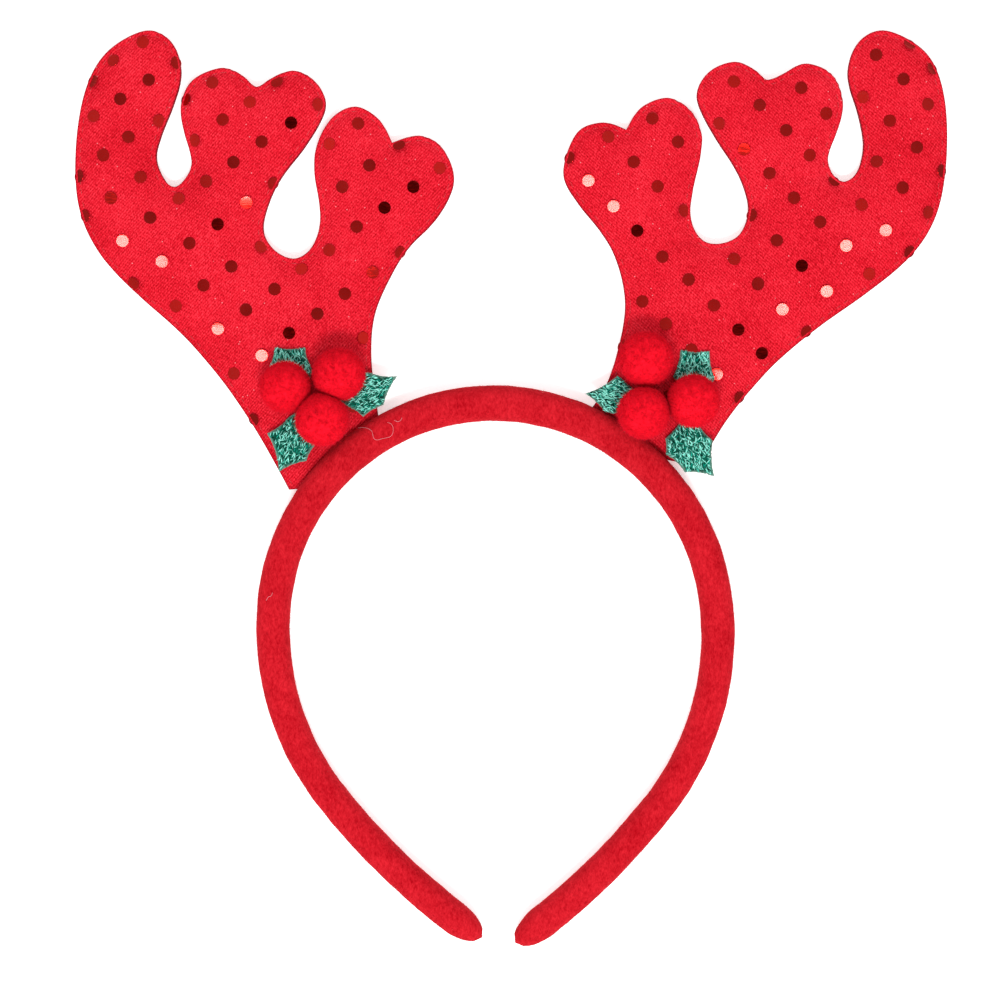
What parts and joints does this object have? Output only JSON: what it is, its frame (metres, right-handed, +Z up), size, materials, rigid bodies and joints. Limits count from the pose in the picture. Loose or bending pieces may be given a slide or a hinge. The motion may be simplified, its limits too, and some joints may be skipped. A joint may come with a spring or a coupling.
{
  "type": "reindeer antler headband",
  "caption": "Padded felt headband with sequinned red reindeer antlers, tinsel holly leaves and red pompoms, lying on its back.",
  "frame": {"origin": "bottom centre of the whole headband as it lies on its back", "axes": "+X towards the right antler as seen from the front, +Y from the band's open ends to the antlers, +Z up out of the front face"},
  "size_m": [0.2466, 0.259, 0.0224],
  "materials": {
    "red felt": "brushed",
    "sequin knit left front": "sequinned knit",
    "sequin knit left back": "sequinned knit",
    "sequin knit right front": "sequinned knit",
    "sequin knit right back": "sequinned knit",
    "holly left upper": "tinsel",
    "holly left inner": "tinsel",
    "holly left lower": "tinsel",
    "holly right upper": "tinsel",
    "holly right inner": "tinsel",
    "holly right lower": "tinsel",
    "pompom left outer": "fluffy",
    "pompom left inner": "fluffy",
    "pompom left lower": "fluffy",
    "pompom right upper": "fluffy",
    "pompom right outer": "fluffy",
    "pompom right lower": "fluffy"
  },
  "bodies": {
    "root": {"felt_band": "red felt", "antler_left_front": "sequin knit left front", "antler_left_back": "sequin knit left back", "antler_right_front": "sequin knit right front", "antler_right_back": "sequin knit right back", "holly_left_upper": "holly left upper", "holly_left_inner": "holly left inner", "holly_left_lower": "holly left lower", "holly_right_upper": "holly right upper", "holly_right_inner": "holly right inner", "holly_right_lower": "holly right lower", "pompom_left_outer": "pompom left outer", "pompom_left_inner": "pompom left inner", "pompom_left_lower": "pompom left lower", "pompom_right_upper": "pompom right upper", "pompom_right_outer": "pompom right outer", "pompom_right_lower": "pompom right lower"}
  },
  "joints": []
}
